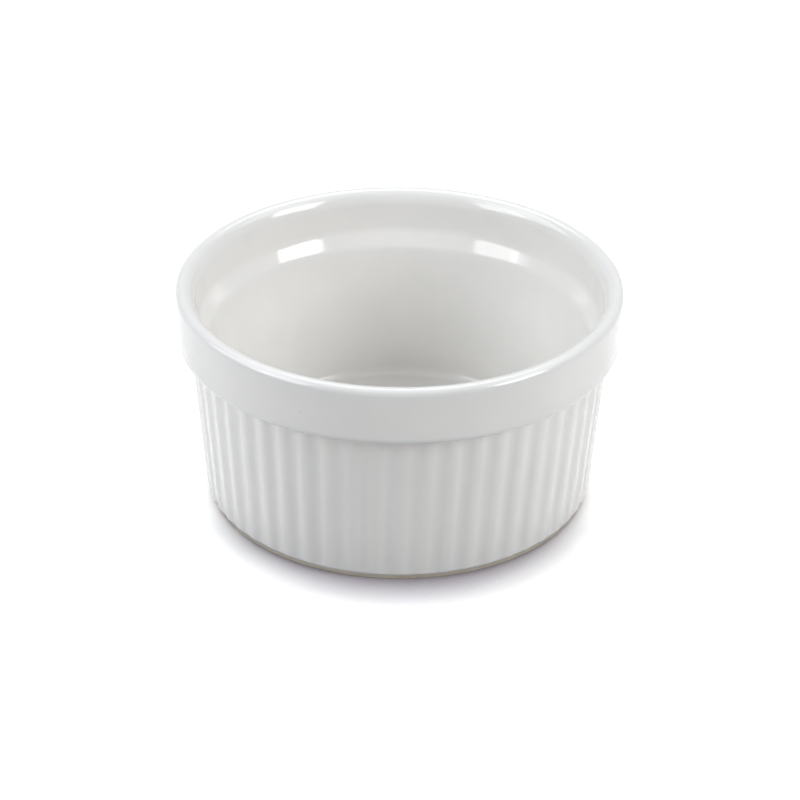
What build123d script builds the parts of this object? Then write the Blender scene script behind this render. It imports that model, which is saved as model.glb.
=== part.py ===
"""A round fluted ramekin: a fired clay pot under a thin white glaze, with a bare foot ring.

Millimetres, +Z up. The origin is on the table, under the middle of the pot, and -Y is the front.
Sizes are of the finished, glazed pot. Under the glaze the clay has the same walls, one thickness
of glaze further in, with crisper flutes and corners that the glaze softens.
"""
from build123d import *
from math import atan2, cos, degrees, pi, radians, sin, tan
import os

# The whole pot
rim_radius = 45.0
height = 45.5
glaze = 0.35

# Smooth collar band round the rim, with a lip that is round all over and leads down into the mouth
band_height = 10.9
band_taper = 0.35
band_edge_round = 1.0
lip_thickness = 3.95
lip_outer_round = 1.4
lip_lead_width = 1.1
lip_lead_height = 2.3
lip_lead_round = 5.0

# Fluted wall, measured on the crests between the flutes
band_overhang = 2.3
wall_draft = 4.5
wall_thickness = 3.6
flute_count = 54
flute_depth = 0.32
crest_round = 4.4

# The glaze ends above the table, and the clay flutes just below it
glaze_line = 1.1
flute_end = 0.9

# Bare foot, which leans in to a ring on the table, and the hollow inside the ring
foot_inset = 0.75
foot_lean = 0.5
foot_ring_width = 3.2
recess_depth = 1.2
recess_slope_width = 0.9
recess_glaze_gap = 0.5

# Inside
mouth_taper = 0.5
shoulder_drop = 8.4
shoulder_height = 3.6
shoulder_round = 4.8
floor_height = 3.9
floor_round = 4.0

# Share of the wall, from its outside, that the flutes take up, and how far in a hidden end goes
bedded_share = 0.45
buried_share = 0.5

# How many straight cuts make each rounding: floor, shoulder, foot of the lead, lip, band's edge
glaze_cut_counts = (3, 1, 1, 3, 2)
clay_cut_counts = (3, 0, 0, 1, 0)

# Two points nearer than this are one
same_point = 1e-6

# Worked out from the sizes above
band_bottom = height - band_height
band_bottom_radius = rim_radius - band_taper
crest_top = band_bottom_radius - band_overhang
wall_slope = tan(radians(wall_draft))
pitch = 2 * pi / flute_count
shoulder_top = height - shoulder_drop
shoulder_bottom = shoulder_top - shoulder_height
mouth_radius = rim_radius - lip_thickness
lead_half_turn = atan2(lip_lead_height, lip_lead_width) / 2
lip_inner_round = (lip_thickness - lip_outer_round - lip_lead_width) / tan(lead_half_turn)


def crest_radius(z):
    """Radius of the crests at height z."""
    return crest_top - (band_bottom - z) * wall_slope


def plain_radius(z):
    """Radius at height z of the plain turned wall behind the flutes."""
    return crest_radius(z) - foot_inset


def inner_radius(z):
    """Radius of the inside at height z, below the shoulder."""
    return crest_radius(z) - wall_thickness


def polar(radius, angle):
    """A point in plan. Angle 0 is the front, and angles grow towards +X."""
    return Vector(radius * sin(angle), -radius * cos(angle))


def rounded(corners):
    """Face inside a closed outline. Each corner gives x, y, its rounding and the cuts in that."""
    points = []
    for index, (x, y, rounding, cuts) in enumerate(corners):
        corner = Vector(x, y)
        if not cuts:
            points.append(corner)
            continue
        before = (Vector(*corners[index - 1][:2]) - corner).normalized()
        after = (Vector(*corners[index + 1][:2]) - corner).normalized()
        half = radians(before.get_angle(after)) / 2
        centre = corner + (before + after).normalized() * (rounding / sin(half))
        start = corner + before * (rounding / tan(half)) - centre
        turn = 180 - degrees(2 * half)
        if before.cross(after).Z > 0:
            turn = -turn
        points += [centre + start.rotate(Axis.Z, turn * step / cuts) for step in range(cuts + 1)]
    apart = [point for index, point in enumerate(points) if (point - points[index - 1]).length > same_point]
    return make_face(Polyline(*apart, close=True))


def upper_corners(skin, cuts):
    """Section from the middle of the floor, up the inside and over the lip, to under the band."""
    floor, shoulder, lead, lip, edge = cuts
    floor_z = floor_height - skin
    top = height - skin
    lead_foot = height - lip_lead_height - skin * tan(pi / 4 - lead_half_turn)
    return [
        (0, floor_z, 0, 0),
        (inner_radius(floor_z) + skin, floor_z, floor_round + skin, floor),
        (inner_radius(shoulder_bottom) + skin, shoulder_bottom, shoulder_round - skin, shoulder),
        (mouth_radius - mouth_taper + skin, shoulder_top, shoulder_round + skin, shoulder),
        (mouth_radius + skin, lead_foot, lip_lead_round - skin, lead),
        (mouth_radius + lip_lead_width + skin * tan(lead_half_turn), top, lip_inner_round - skin, lip),
        (rim_radius - skin, top, lip_outer_round - skin, lip),
        (band_bottom_radius - skin, band_bottom + skin, band_edge_round - skin, edge),
        (plain_radius(band_bottom), band_bottom + skin, 0, 0),
    ]


def ring_inside():
    """Inner radius of the foot ring on the table."""
    return plain_radius(flute_end) - foot_lean - foot_ring_width


def recess_radius():
    """Radius of the ceiling of the hollow inside the foot ring."""
    return ring_inside() - recess_slope_width


def clay_section():
    """Half section of the clay without its flutes."""
    return rounded(upper_corners(glaze, clay_cut_counts) + [
        (plain_radius(flute_end), flute_end, 0, 0),
        (ring_inside() + foot_ring_width, 0, 0, 0),
        (ring_inside(), 0, 0, 0),
        (recess_radius(), recess_depth, 0, 0),
        (0, recess_depth, 0, 0),
    ])


def glazed_section():
    """Half section of the glazed pot without its flutes, ending inside the clay below."""
    buried_radius = inner_radius(glaze_line)
    buried_z = recess_depth + (floor_height - recess_depth) * buried_share
    return rounded(upper_corners(0, glaze_cut_counts) + [
        (plain_radius(glaze_line), glaze_line, 0, 0),
        (buried_radius, glaze_line, 0, 0),
        (buried_radius, buried_z, 0, 0),
        (0, buried_z, 0, 0),
    ])


def all_round(edges):
    """The face inside these edges, which belong to one flute, and their copies all round."""
    copies = []
    for index in range(flute_count):
        copies += [Rot(0, 0, 360 / flute_count * index) * edge for edge in edges]
    return Face(Wire(copies))


def glazed_outline():
    """Plan of the glazed wall under the band: round crests and hollow flutes, all tangent."""
    valley = crest_top - flute_depth
    to_crest = crest_top - crest_round
    reach = to_crest ** 2 + valley ** 2 - 2 * to_crest * valley * cos(pitch / 2) - crest_round ** 2
    flute_round = reach / (2 * (crest_round - valley + to_crest * cos(pitch / 2)))
    crest_centre = polar(to_crest, 0)
    across = polar(valley + flute_round, pitch / 2) - crest_centre
    lean = atan2(across.X, -across.Y)
    before, left, top, right, joint = [
        crest_centre + polar(crest_round, lean * share / 2) for share in (-2, -1, 0, 1, 2)
    ]
    return all_round([
        Edge.make_three_point_arc(before, left, top),
        Edge.make_three_point_arc(top, right, joint),
        Edge.make_three_point_arc(joint, polar(valley, pitch / 2), before.rotate(Axis.Z, 360 / flute_count)),
    ])


def clay_outline():
    """Plan of the clay wall under the band: straight cuts from each crest to the next valley."""
    crest = crest_top - glaze
    before = polar(crest, 0)
    valley = polar(crest - flute_depth, pitch / 2)
    return all_round([
        Edge.make_line(before, valley),
        Edge.make_line(valley, polar(crest, pitch)),
    ])


def flutes(outline, bottom):
    """Ring of flutes from this height up into the band, drawn in towards the foot with the wall."""
    ring = outline - Circle(crest_top - wall_thickness * bedded_share)
    sections = []
    for z in (bottom, band_bottom + band_edge_round):
        sections.append(Pos(0, 0, z) * scale(ring, by=crest_radius(z) / crest_top))
    return loft(sections, ruled=True, clean=False)


def turned(section):
    """The section turned about the pot's axis."""
    return revolve(Plane.XZ * section, axis=Axis.Z)


def ceiling_glaze():
    """Glaze on the ceiling of the hollow under the floor, short of the ceiling's edge."""
    radius = recess_radius() - recess_glaze_gap
    above = (Align.CENTER, Align.CENTER, Align.MIN)
    return Pos(0, 0, recess_depth - glaze) * Cylinder(radius, glaze, align=above)


os.makedirs("parts", exist_ok=True)
stoneware_body = turned(clay_section()) + flutes(clay_outline(), flute_end)
glazed_pot = turned(glazed_section()) + flutes(glazed_outline(), glaze_line)
nodes = {
    "stoneware_body": stoneware_body,
    "glaze_coat": glazed_pot - stoneware_body,
    "base_glaze": ceiling_glaze(),
}
for name, shape in nodes.items():
    shape.label = name
    export_step(shape, f"parts/{name}.step")
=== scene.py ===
import random
from math import acos, atan2, ceil, cos, pi, radians, sin, tan

import bpy
import numpy as np
from mathutils import Euler, Matrix, Vector


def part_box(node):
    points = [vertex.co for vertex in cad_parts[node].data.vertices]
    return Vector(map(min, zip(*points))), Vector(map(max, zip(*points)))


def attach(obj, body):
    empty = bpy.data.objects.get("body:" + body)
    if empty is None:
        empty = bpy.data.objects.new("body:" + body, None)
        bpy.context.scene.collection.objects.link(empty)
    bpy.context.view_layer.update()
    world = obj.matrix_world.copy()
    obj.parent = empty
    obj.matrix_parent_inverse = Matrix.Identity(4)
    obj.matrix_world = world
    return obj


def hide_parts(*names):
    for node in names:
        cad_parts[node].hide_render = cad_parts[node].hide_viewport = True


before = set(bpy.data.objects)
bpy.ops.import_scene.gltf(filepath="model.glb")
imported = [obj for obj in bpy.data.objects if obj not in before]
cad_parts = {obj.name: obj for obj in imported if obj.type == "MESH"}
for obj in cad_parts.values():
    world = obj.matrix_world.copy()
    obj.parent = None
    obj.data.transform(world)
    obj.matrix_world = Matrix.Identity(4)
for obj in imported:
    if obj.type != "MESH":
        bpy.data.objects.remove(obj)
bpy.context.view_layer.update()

MM = 0.001

# Sizes of the pot in millimetres, the overall ones from the frame
glaze_low, glaze_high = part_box("glaze_coat")
rim_radius = round(glaze_high.x / MM, 1)
height = glaze_high.z / MM
glaze_line = glaze_low.z / MM
glaze = 0.35

band_height = 12.1
band_taper = 0.35
band_edge_round = 1.8
lip_thickness = 3.95
lip_outer_round = 1.4
lip_lead_width = 1.1
lip_lead_height = 2.3
lip_lead_round = 5.0

band_overhang = 2.39
wall_draft = 4.5
wall_thickness = 3.6
under_band_fillet = 0.5
flute_count = 54
flute_depth = 0.32
crest_round = 4.4
glaze_end_round = 0.75

mouth_taper = 0.5
shoulder_drop = 8.4
shoulder_height = 3.6
shoulder_round = 4.8
floor_height = 3.9
floor_round = 2.0

foot_top = 0.9
foot_inset = 0.5
foot_lean = 0.3
foot_ring_width = 3.2
foot_edge_round = 0.25
recess_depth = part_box("base_glaze")[1].z / MM
recess_lean = 0.9
recess_round = 0.5
patch_edge_share = 0.9

# How the pot differs from a perfect turned form
flute_lean = radians(1.0)
wobble = 0.05
wobble_three_share = 0.6
wobble_rise_share = 0.6
wobble_phases = (0.7, 2.1, 2.4)
flute_unevenness_share = 0.12
seed = 7

# Fineness of the meshes
arc_step = radians(5)
run_step = 2.6
same_point = 0.001
smooth_columns = 432
fluted_columns = 864
pole_columns = 54
floor_columns = 96

# How thin the glaze is drawn on a crest, how much it pools in a flute and is painted darker there
# as shade, and how that is blurred
crest_thinness = 0.5
flute_pooling_and_shade = 0.9
thinness_blur = (0.1, 0.2, 0.4, 0.2, 0.1)

# Colours of the glaze where it is whitest, creamiest, thin, and where it pools and is painted
# darker as shade, and of the clay
glaze_white = (0.845, 0.838, 0.822)
glaze_cream = (0.825, 0.820, 0.806)
glaze_thin_colour = (0.835, 0.815, 0.775)
glaze_pool_and_shade_colour = (0.775, 0.79, 0.80)
glaze_speck_colour = (0.45, 0.38, 0.30)
clay_light = (0.79, 0.73, 0.62)
clay_dark = (0.71, 0.64, 0.53)
clay_grain_colour = (0.56, 0.48, 0.38)
iron_speck_colour = (0.25, 0.17, 0.11)

# The floor, the shadow painted on it close to the pot and leaning to the front, and the sky
floor_radius = 0.65
floor_gap = 0.00002
floor_albedo = 0.55
floor_seen = 1.46
# A painted shadow on the floor near the pot: its reach in millimetres, the shares where it is
# darkest and where it ends, its lift behind the pot, and its colour
painted_shadow_reach = 15.0
painted_shadow_dark_share = 0.56
painted_shadow_clear_share = 1.0
painted_shadow_back_lift = 1.16
painted_shadow_colour = (0.40, 0.373, 0.415)
sky_light = 0.04

# The lamps: name, azimuth and elevation in degrees, width and height in metres, watts and colour
lamp_distance = 0.9
cool_white, cooler_white, plain_white = (0.97, 0.985, 1.0), (0.96, 0.98, 1.0), (1.0, 1.0, 1.0)
lamps = (
    ("key_right", 61.5, 30, 0.42, 0.42, 3.85, plain_white),
    ("key_left", -61.5, 30, 0.42, 0.42, 2.3, cool_white),
    ("fill_left", -90, 41, 0.6, 0.75, 3.3, cooler_white),
    ("fill_right", 90, 50, 0.6, 0.5, 1.3, plain_white),
    ("back_top", 180, 60, 0.6, 0.5, 2.5, plain_white),
    ("top", 0, 78, 0.6, 0.6, 0.4, plain_white),
    ("under", 0, -90, 0.6, 0.6, 4.5, plain_white),
)

# The camera, from the photograph: focal length in pixels of an 800 pixel wide image
image_width = 800
camera_focal = 2584.48
camera_place = (0.26, -460.0, 282.9)
camera_pitch = 0.5225
camera_roll = 0.0081
camera_turn = radians(0.9)
camera_clip = (0.01, 20)

# Worked out from the sizes above
band_bottom = height - band_height
band_bottom_radius = rim_radius - band_taper
crest_top = band_bottom_radius - band_overhang
wall_slope = tan(radians(wall_draft))
shoulder_top = height - shoulder_drop
shoulder_bottom = shoulder_top - shoulder_height
mouth_radius = rim_radius - lip_thickness
lead_half_turn = atan2(lip_lead_height, lip_lead_width) / 2
lip_outer_reach = lip_outer_round * tan(pi / 4 + atan2(band_taper, band_height) / 2)
lip_inner_round = (lip_thickness - lip_outer_reach - lip_lead_width) / tan(lead_half_turn)
pitch = 2 * pi / flute_count


def crest_radius(z):
    """Radius of the crests between the flutes at height z."""
    return crest_top - (band_bottom - z) * wall_slope


def inner_radius(z):
    """Radius of the inside at height z, below the shoulder."""
    return crest_radius(z) - wall_thickness


def unit(vector):
    """The vector at length 1."""
    return vector / np.linalg.norm(vector)


def section(corners):
    """Points of a section through corners (radius, height, rounding), close enough to be smooth."""
    points = []
    for index, (radius, z, rounding) in enumerate(corners):
        corner = np.array([radius, z], float)
        if rounding == 0:
            points.append(corner)
            continue
        before = unit(np.array(corners[index - 1][:2]) - corner)
        after = unit(np.array(corners[index + 1][:2]) - corner)
        half = acos(float(np.clip(before @ after, -1, 1))) / 2
        centre = corner + unit(before + after) * rounding / sin(half)
        start = corner + before * rounding / tan(half) - centre
        end = corner + after * rounding / tan(half) - centre
        sweep = atan2(start[0] * end[1] - start[1] * end[0], float(start @ end))
        steps = max(2, ceil(abs(sweep) / arc_step))
        for step in range(steps + 1):
            turn = sweep * step / steps
            points.append(centre + np.array([
                start[0] * cos(turn) - start[1] * sin(turn),
                start[0] * sin(turn) + start[1] * cos(turn),
            ]))
    fine = [points[0]]
    for point in points[1:]:
        gap = np.linalg.norm(point - fine[-1])
        if gap < same_point:
            continue
        parts = max(1, ceil(gap / run_step))
        last = fine[-1]
        for part in range(1, parts + 1):
            fine.append(last + (point - last) * part / parts)
    return fine


def inside_and_lip(skin):
    """Corners from the middle of the floor, up the inside and over the lip, to under the band."""
    floor_z = floor_height - skin
    lead_foot = height - lip_lead_height - skin * tan(pi / 4 - lead_half_turn)
    lead_top = mouth_radius + lip_lead_width + skin * tan(lead_half_turn)
    return [
        (0, floor_z, 0),
        (inner_radius(floor_z) + skin, floor_z, floor_round + skin),
        (inner_radius(shoulder_bottom) + skin, shoulder_bottom, shoulder_round - skin),
        (mouth_radius - mouth_taper + skin, shoulder_top, shoulder_round + skin),
        (mouth_radius + skin, lead_foot, lip_lead_round - skin),
        (lead_top, height - skin, lip_inner_round - skin),
        (rim_radius - skin, height - skin, lip_outer_round - skin),
        (band_bottom_radius - skin, band_bottom + skin, band_edge_round - skin),
        (crest_top - skin, band_bottom + skin, under_band_fillet + skin),
    ]


def flute_relief(angle):
    """How far below its crests the wall lies at an angle from a crest, as arcs tangent in plan."""
    valley = crest_top - flute_depth
    to_crest = crest_top - crest_round
    reach = to_crest ** 2 + valley ** 2 - crest_round ** 2
    reach -= 2 * to_crest * valley * cos(pitch / 2)
    flute_round = reach / (2 * (crest_round - valley + to_crest * cos(pitch / 2)))
    to_flute = valley + flute_round
    gap_x = to_flute * sin(pitch / 2)
    gap_y = to_flute * cos(pitch / 2) - to_crest
    share = crest_round / (crest_round + flute_round)
    joint = atan2(gap_x * share, to_crest + gap_y * share)
    away = np.abs((angle + pitch / 2) % pitch - pitch / 2)
    beside = pitch / 2 - away
    crest_bulge = np.sqrt(np.maximum(crest_round ** 2 - (to_crest * np.sin(away)) ** 2, 0))
    flute_hollow = np.sqrt(flute_round ** 2 - (to_flute * np.sin(beside)) ** 2)
    on_crest = to_crest * np.cos(away) + crest_bulge
    in_flute = to_flute * np.cos(beside) - flute_hollow
    return crest_top - np.where(away < joint, on_crest, in_flute)


draw = random.Random(seed)
flute_scale = np.array([
    1 + flute_unevenness_share * draw.uniform(-1, 1) for _ in range(flute_count)
])


def uneven(angle):
    """Depth of the flute at an angle, against the usual depth."""
    return flute_scale[np.floor(angle / pitch).astype(int) % flute_count]


def ring(radius, z, fluted, columns):
    """One ring of vertices (x, y, z) and how far down in a flute each lies, from 0 to 1."""
    angle = 2 * pi * np.arange(columns) / columns
    depth = flute_relief(angle) * uneven(angle) * fluted
    lean = -flute_lean * (band_bottom / 2 - z) / band_bottom
    angle = angle + (lean if z < band_bottom else flute_lean / 2)
    two_phase, three_phase, rise_phase = wobble_phases
    waves = np.sin(2 * angle + two_phase) + wobble_three_share * np.sin(3 * angle + three_phase)
    swell = wobble * radius / rim_radius * waves * z / height
    rise = wobble * wobble_rise_share * np.sin(2 * angle + rise_phase)
    rise *= (z / height) ** 2 * radius / rim_radius
    out = radius - depth + swell
    return np.stack([out * np.sin(angle), -out * np.cos(angle), z + rise], 1), depth / flute_depth


def columns_at(radius, fluted):
    """How many vertices a ring has: fewer towards the axis, and twice as many on the flutes."""
    if fluted:
        return fluted_columns
    columns = smooth_columns
    while columns > pole_columns and radius < rim_radius * columns / smooth_columns / 2:
        columns //= 2
    return columns


def join(first, second, offsets, counts):
    """Faces between two rings, where the second may have as many, half as many or twice as many."""
    a, b = offsets[first], offsets[second]
    m, n = counts[first], counts[second]
    if m == n:
        return [(a + k, a + (k + 1) % m, b + (k + 1) % n, b + k) for k in range(m)]
    faces = []
    if m == 2 * n:
        for k in range(n):
            mid, far = a + 2 * k + 1, a + (2 * k + 2) % m
            near, after = b + k, b + (k + 1) % n
            faces += [(a + 2 * k, mid, near), (mid, after, near), (mid, far, after)]
        return faces
    if n == 2 * m:
        for k in range(m):
            mid, far = b + 2 * k + 1, b + (2 * k + 2) % n
            near, after = a + k, a + (k + 1) % m
            faces += [(b + 2 * k, near, mid), (mid, near, after), (mid, after, far)]
        return faces
    raise ValueError(f"rings of {m} and {n} vertices can't be joined")


def turned_mesh(name, profile):
    """A closed mesh turned from points (radius, z, fluted, thinness), the end ones on the axis."""
    vertices = [np.array([[0, 0, profile[0][1]]])]
    thinness = [np.array([profile[0][3]])]
    offsets, counts, total = [], [], 1
    for radius, z, fluted, thin in profile[1:-1]:
        columns = columns_at(radius, fluted)
        if counts:
            columns = int(min(max(columns, counts[-1] // 2), counts[-1] * 2))
        points, low = ring(radius, z, fluted, columns)
        offsets.append(total)
        counts.append(columns)
        total += columns
        vertices.append(points)
        # Lower in the flute valleys, where the glaze pools and is painted darker as shade
        thinness.append(thin + fluted * (crest_thinness - flute_pooling_and_shade * low))
    vertices.append(np.array([[0, 0, profile[-1][1]]]))
    thinness.append(np.array([profile[-1][3]]))
    start, count = offsets[0], counts[0]
    faces = [(0, start + k, start + (k + 1) % count) for k in range(count)]
    for index in range(len(offsets) - 1):
        faces += [face[::-1] for face in join(index, index + 1, offsets, counts)]
    start, count = offsets[-1], counts[-1]
    faces += [(total, start + (k + 1) % count, start + k) for k in range(count)]
    mesh = bpy.data.meshes.new(name)
    mesh.from_pydata((np.concatenate(vertices) * MM).tolist(), [], faces)
    thin = mesh.attributes.new("thin", "FLOAT", "POINT")
    thin.data.foreach_set("value", np.clip(np.concatenate(thinness), -1, 1).astype(np.float32))
    mesh.update()
    volume = sum(
        mesh.vertices[face.vertices[0]].co.dot(face.normal) * face.area for face in mesh.polygons
    )
    if volume < 0:
        mesh.flip_normals()
    mesh.shade_smooth()
    piece = bpy.data.objects.new(name, mesh)
    bpy.context.scene.collection.objects.link(piece)
    return piece


def with_thinness(points, fluted, hidden=False):
    """The points with how thin the glaze runs there: 1 on sharp edges, below 0 where it pools and
    is painted darker as shade.
    """
    thin = np.zeros(len(points))
    for index in range(1, len(points) - 1):
        back = points[index] - points[index - 1]
        on = points[index + 1] - points[index]
        turn = atan2(back[0] * on[1] - back[1] * on[0], float(back @ on))
        thin[index] = turn / (np.linalg.norm(back) + np.linalg.norm(on)) * 2 * lip_outer_round
    if hidden:
        thin[:] = 0
    padded = np.pad(thin, len(thinness_blur) // 2, mode="edge")
    soft = np.convolve(padded, thinness_blur, mode="valid")
    return [(radius, z, share, float(s)) for (radius, z), share, s in zip(points, fluted, soft)]


def flute_shares(points, end_z):
    """How much of the flutes each point of a section from the lip down has."""
    edge = band_bottom_radius - band_edge_round
    inner = crest_top + under_band_fillet
    shares = []
    past_lip = False
    for radius, z in points:
        on_lip = radius > rim_radius - lip_outer_round and z > height - lip_thickness
        past_lip = past_lip or on_lip
        share = 0.0
        if past_lip and z < band_bottom + same_point:
            share = float(np.clip((edge - radius) / (edge - inner), 0, 1))
            share *= float(np.clip((z - end_z) / glaze_end_round, 0, 1)) ** 0.5
        shares.append(share)
    return shares


def fluted_profile(skin, corners_below, end_z):
    """Points and flute shares of the inside, the lip, the band and the fluted wall."""
    points = section(inside_and_lip(skin) + corners_below)
    return points, flute_shares(points, end_z)


def glaze_piece():
    """The glaze skin: its outer face down to the glaze line, and its back against the clay."""
    end = crest_radius(glaze_line)
    face, face_shares = fluted_profile(0, [
        (end, glaze_line, glaze_end_round),
        (end - glaze - glaze_end_round, glaze_line, 0),
    ], glaze_line)
    back, back_shares = fluted_profile(glaze, [(end - glaze, glaze_line, 0)], glaze_line)
    profile = with_thinness(face, face_shares)
    profile += with_thinness(back, back_shares, hidden=True)[::-1]
    return turned_mesh("glazed_skin", profile)


def clay_piece():
    """The clay pot, of which only the bare foot and the edge of its hollow show."""
    top = crest_radius(foot_top) - foot_inset
    ring_outside = top - foot_lean
    ring_inside = ring_outside - foot_ring_width
    points, shares = fluted_profile(glaze, [
        (crest_radius(foot_top) - glaze, foot_top, 0),
        (top, foot_top, 0),
        (ring_outside, 0, foot_edge_round),
        (ring_inside, 0, foot_edge_round),
        (ring_inside - recess_lean, recess_depth, recess_round),
        (0, recess_depth, 0),
    ], foot_top)
    return turned_mesh("clay_pot", with_thinness(points, shares))


def base_glaze_piece():
    """The patch of glaze on the ceiling of the hollow, with a rounded edge."""
    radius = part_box("base_glaze")[1].x / MM
    low = recess_depth - glaze
    points = section([
        (0, low, 0),
        (radius, low, glaze * patch_edge_share),
        (radius, recess_depth, 0),
        (0, recess_depth, 0),
    ])
    return turned_mesh("base_glaze_patch", with_thinness(points, [0.0] * len(points)))


class Shader:
    """The node tree of a material or the world, with short calls for the nodes used here."""

    def __init__(self, owner, out_kind="ShaderNodeOutputMaterial"):
        owner.use_nodes = True
        self.tree = owner.node_tree
        self.tree.nodes.clear()
        self.out = self.add(out_kind)

    def finish(self, surface):
        """Link the surface to the output."""
        self.tree.links.new(surface.outputs[0], self.out.inputs["Surface"])

    def place(self):
        """Where a point lies on the piece, in metres."""
        return self.add("ShaderNodeTexCoord").outputs["Object"]

    def seen(self):
        """1 for rays that show a thing to the camera, straight, mirrored or through glass."""
        path = self.add("ShaderNodeLightPath").outputs
        seen = self.math("MAXIMUM", path["Is Camera Ray"], path["Is Glossy Ray"])
        return self.math("MAXIMUM", seen, path["Is Transmission Ray"])

    def add(self, kind, links=(), **values):
        """A node with its settings, its inputs by name and what is linked to them."""
        node = self.tree.nodes.new(kind)
        for key, value in values.items():
            if hasattr(node, key):
                setattr(node, key, value)
            else:
                node.inputs[key.replace("_", " ")].default_value = value
        for key, source in dict(links).items():
            self.tree.links.new(source, node.inputs[key])
        return node

    def noise(self, size, detail=2.0, roughness=0.5):
        """Soft noise with features about this many millimetres wide."""
        node = self.add("ShaderNodeTexNoise", {"Vector": self.place()})
        node.inputs["Scale"].default_value = 1 / (size * MM)
        node.inputs["Detail"].default_value = detail
        node.inputs["Roughness"].default_value = roughness
        return node.outputs["Fac"]

    def spots(self, spacing, size, kept_share):
        """Sparse round spots: a few per cell of this spacing, each this wide, in millimetres."""
        cells = self.add("ShaderNodeTexVoronoi", {"Vector": self.place()}, feature="F1")
        cells.inputs["Scale"].default_value = 1 / (spacing * MM)
        near = self.remap(cells.outputs["Distance"], size / spacing, 0.0)
        colour = self.add("ShaderNodeSeparateColor", {"Color": cells.outputs["Color"]})
        kept = self.math("LESS_THAN", colour.outputs["Red"], kept_share)
        return self.math("MULTIPLY", near, kept)

    def remap(self, value, low, high, to_low=0.0, to_high=1.0):
        """The value with low..high stretched to to_low..to_high, clamped."""
        node = self.add("ShaderNodeMapRange", {"Value": value})
        for name, number in zip(
            ("From Min", "From Max", "To Min", "To Max"), (low, high, to_low, to_high)
        ):
            node.inputs[name].default_value = number
        return node.outputs["Result"]

    def math(self, operation, first, second):
        """The result of a calculation with two numbers or sockets."""
        node = self.add("ShaderNodeMath", operation=operation)
        for socket, value in zip(node.inputs, (first, second)):
            if isinstance(value, (int, float)):
                socket.default_value = value
            else:
                self.tree.links.new(value, socket)
        return node.outputs["Value"]

    def mix(self, share, first, second):
        """A colour between two, either of which may be a colour or a socket."""
        node = self.add("ShaderNodeMix", data_type="RGBA")
        self.tree.links.new(share, node.inputs["Factor"])
        for socket, value in ((node.inputs[6], first), (node.inputs[7], second)):
            if isinstance(value, tuple):
                socket.default_value = (*value, 1)
            else:
                self.tree.links.new(value, socket)
        return node.outputs[2]

    def bump(self, heights):
        """Bumps in a chain, each (height socket, depth in millimetres)."""
        normal = None
        for source, depth in heights:
            node = self.add("ShaderNodeBump", {"Height": source})
            node.inputs["Distance"].default_value = depth * MM
            if normal:
                self.tree.links.new(normal, node.inputs["Normal"])
            normal = node.outputs["Normal"]
        return normal


def glaze_material():
    """Glossy white glaze, creamier on edges, and cooler and darker where it pools, which is partly
    a painted shade in the flutes and concave corners, with a few specks.
    """
    material = bpy.data.materials.new("white_glaze_fired")
    shader = Shader(material)
    thin = shader.add("ShaderNodeAttribute", attribute_name="thin").outputs["Fac"]
    cloud = shader.noise(9.0, 3.0, 0.55)
    colour = shader.mix(shader.remap(cloud, 0.35, 0.65), glaze_cream, glaze_white)
    colour = shader.mix(shader.remap(thin, 0.15, 1.0, 0.0, 0.25), colour, glaze_thin_colour)
    # Pooled glaze: cooler, and darker as a painted shade in the flutes and concave corners
    colour = shader.mix(shader.remap(thin, -0.1, -0.6, 0.0, 0.5), colour, glaze_pool_and_shade_colour)
    specks = shader.spots(3.2, 0.28, 0.06)
    colour = shader.mix(shader.math("MULTIPLY", specks, 0.35), colour, glaze_speck_colour)
    pinholes = shader.spots(2.1, 0.2, 0.05)
    roughness = shader.remap(shader.noise(4.0, 3.0), 0.3, 0.7, 0.10, 0.17)
    normal = shader.bump([
        (shader.noise(7.0, 1.0), 0.022),
        (shader.noise(1.6, 2.0), 0.0028),
        (shader.math("SUBTRACT", 1.0, pinholes), 0.03),
    ])
    surface = shader.add(
        "ShaderNodeBsdfPrincipled",
        {"Base Color": colour, "Roughness": roughness, "Normal": normal},
    )
    surface.inputs["IOR"].default_value = 1.52
    surface.inputs["Coat Weight"].default_value = 0.35
    surface.inputs["Coat Roughness"].default_value = 0.04
    surface.inputs["Coat IOR"].default_value = 1.5
    shader.finish(surface)
    return material


def clay_material():
    """Bare fired clay: matt, sandy and cream, with dark iron specks."""
    material = bpy.data.materials.new("bare_stoneware_fired")
    shader = Shader(material)
    cloud = shader.noise(6.0, 4.0, 0.6)
    grain = shader.noise(0.45, 3.0, 0.7)
    colour = shader.mix(shader.remap(cloud, 0.35, 0.65), clay_dark, clay_light)
    colour = shader.mix(shader.remap(grain, 0.55, 0.75, 0.0, 0.45), colour, clay_grain_colour)
    iron = shader.spots(1.3, 0.16, 0.12)
    colour = shader.mix(shader.math("MULTIPLY", iron, 0.7), colour, iron_speck_colour)
    roughness = shader.remap(grain, 0.3, 0.7, 0.78, 0.92)
    normal = shader.bump([(grain, 0.035), (shader.noise(0.16, 2.0), 0.012)])
    surface = shader.add(
        "ShaderNodeBsdfPrincipled",
        {"Base Color": colour, "Roughness": roughness, "Normal": normal},
    )
    surface.inputs["Specular IOR Level"].default_value = 0.35
    shader.finish(surface)
    return material


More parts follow.
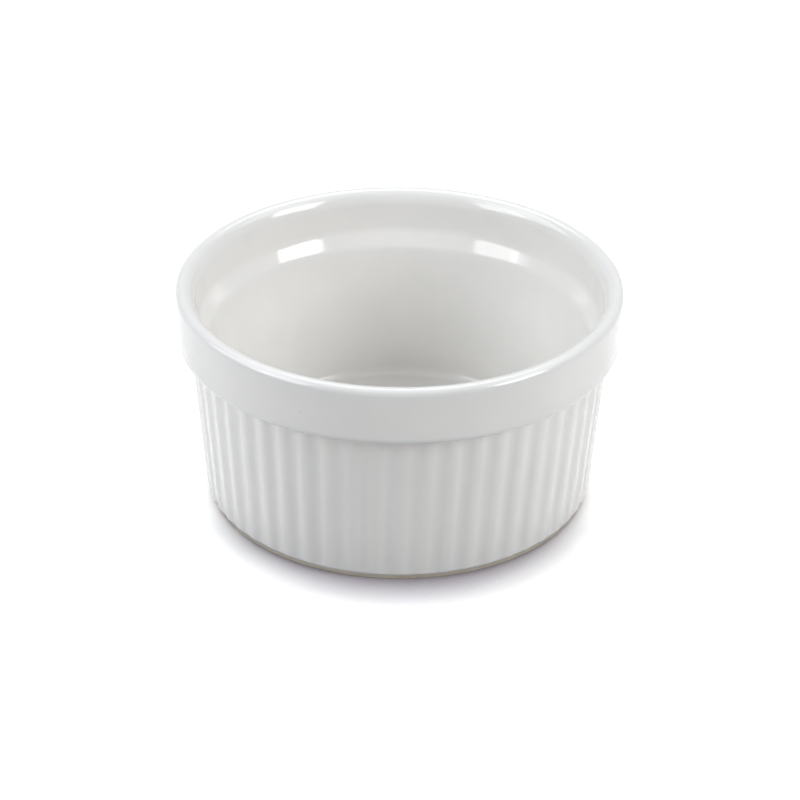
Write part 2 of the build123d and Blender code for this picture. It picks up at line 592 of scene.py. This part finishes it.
def floor_material():
    """White to the camera where it is lit, keeping the pot's shadow and adding a painted shadow
    close to the pot that leans to the front, and clear from below.
    """
    material = bpy.data.materials.new("floor_white")
    shader = Shader(material)
    # Painted shadow: to the camera the floor is drawn darker close to the pot by ambient occlusion,
    # lifted behind the pot so that the shade leans to the front
    near = shader.add("ShaderNodeAmbientOcclusion", samples=8)
    near.inputs["Distance"].default_value = painted_shadow_reach * MM
    side = shader.add("ShaderNodeVectorMath", {0: shader.place()}, operation="NORMALIZE")
    behind = shader.add("ShaderNodeSeparateXYZ", {"Vector": side.outputs["Vector"]}).outputs["Y"]
    painted_shadow_lift = shader.remap(behind, -1, 1, 0.0, painted_shadow_back_lift)
    openness = shader.math("ADD", near.outputs["AO"], painted_shadow_lift)
    open_share = shader.remap(openness, painted_shadow_dark_share, painted_shadow_clear_share)
    shown_with_painted_shadow = shader.mix(open_share, painted_shadow_colour, (floor_seen,) * 3)
    colour = shader.mix(shader.seen(), (floor_albedo,) * 3, shown_with_painted_shadow)
    diffuse = shader.add("ShaderNodeBsdfDiffuse", {"Color": colour})
    clear = shader.add("ShaderNodeBsdfTransparent")
    under = shader.add("ShaderNodeNewGeometry").outputs["Backfacing"]
    surface = shader.add(
        "ShaderNodeMixShader", {"Fac": under, 1: diffuse.outputs[0], 2: clear.outputs[0]}
    )
    shader.finish(surface)
    return material


def floor_piece():
    """A round floor with an opening, covered by the foot, that lets light onto the underside."""
    opening = (crest_radius(foot_top) - foot_inset - foot_lean - foot_edge_round) * MM
    angles = [2 * pi * k / floor_columns for k in range(floor_columns)]
    vertices = [
        (radius * cos(angle), radius * sin(angle), -floor_gap)
        for radius in (floor_radius, opening) for angle in angles
    ]
    faces = [
        (k, (k + 1) % floor_columns, floor_columns + (k + 1) % floor_columns, floor_columns + k)
        for k in range(floor_columns)
    ]
    mesh = bpy.data.meshes.new("floor")
    mesh.from_pydata(vertices, [], faces)
    floor = bpy.data.objects.new("floor", mesh)
    bpy.context.scene.collection.objects.link(floor)
    mesh.materials.append(floor_material())


def sky():
    """White where it is seen or mirrored, and nearly dark as a light."""
    world = bpy.data.worlds.new("studio_white")
    bpy.context.scene.world = world
    shader = Shader(world, "ShaderNodeOutputWorld")
    strength = shader.remap(shader.seen(), 0.0, 1.0, sky_light, 1.0)
    background = shader.add("ShaderNodeBackground", {"Strength": strength})
    background.inputs["Color"].default_value = (1, 1, 1, 1)
    shader.finish(background)


def softbox(name, azimuth, elevation, width, tall, power, tint):
    """A rectangular lamp in a direction from the pot, azimuth 0 in front and growing towards +X."""
    azimuth, elevation = radians(azimuth), radians(elevation)
    lamp = bpy.data.lights.new(name, "AREA")
    lamp.shape = "RECTANGLE"
    lamp.size = width
    lamp.size_y = tall
    lamp.energy = power
    lamp.color = tint
    thing = bpy.data.objects.new(name, lamp)
    bpy.context.scene.collection.objects.link(thing)
    flat = cos(elevation)
    away = Vector((sin(azimuth) * flat, -cos(azimuth) * flat, sin(elevation)))
    thing.location = away * lamp_distance
    thing.rotation_euler = away.to_track_quat("Z", "Y").to_euler()
    thing.visible_camera = False


def camera():
    """The photograph's camera, turned a little about the pot to bring the flutes into place."""
    data = bpy.data.cameras.new("camera")
    data.lens = data.sensor_width * camera_focal / image_width
    data.clip_start, data.clip_end = camera_clip
    thing = bpy.data.objects.new("camera", data)
    bpy.context.scene.collection.objects.link(thing)
    aim = Euler((pi / 2 - camera_pitch, 0, 0)).to_matrix().to_4x4()
    aim = aim @ Matrix.Rotation(camera_roll, 4, "Z")
    stand = Matrix.Translation(Vector(camera_place) * MM)
    thing.matrix_world = Matrix.Rotation(-camera_turn, 4, "Z") @ stand @ aim
    bpy.context.scene.camera = thing


glazed_skin = glaze_piece()
clay_pot = clay_piece()
base_patch = base_glaze_piece()

white_glaze = glaze_material()
glazed_skin.data.materials.append(white_glaze)
base_patch.data.materials.append(white_glaze)
clay_pot.data.materials.append(clay_material())

for piece, node, slot in (
    (glazed_skin, "glaze_coat", "white_glaze"),
    (clay_pot, "stoneware_body", "bare_stoneware"),
    (base_patch, "base_glaze", "white_glaze"),
):
    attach(piece, "root")
    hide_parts(node)

floor_piece()
sky()
for lamp in lamps:
    softbox(*lamp)
camera()
bpy.context.scene.view_settings.view_transform = "Standard"
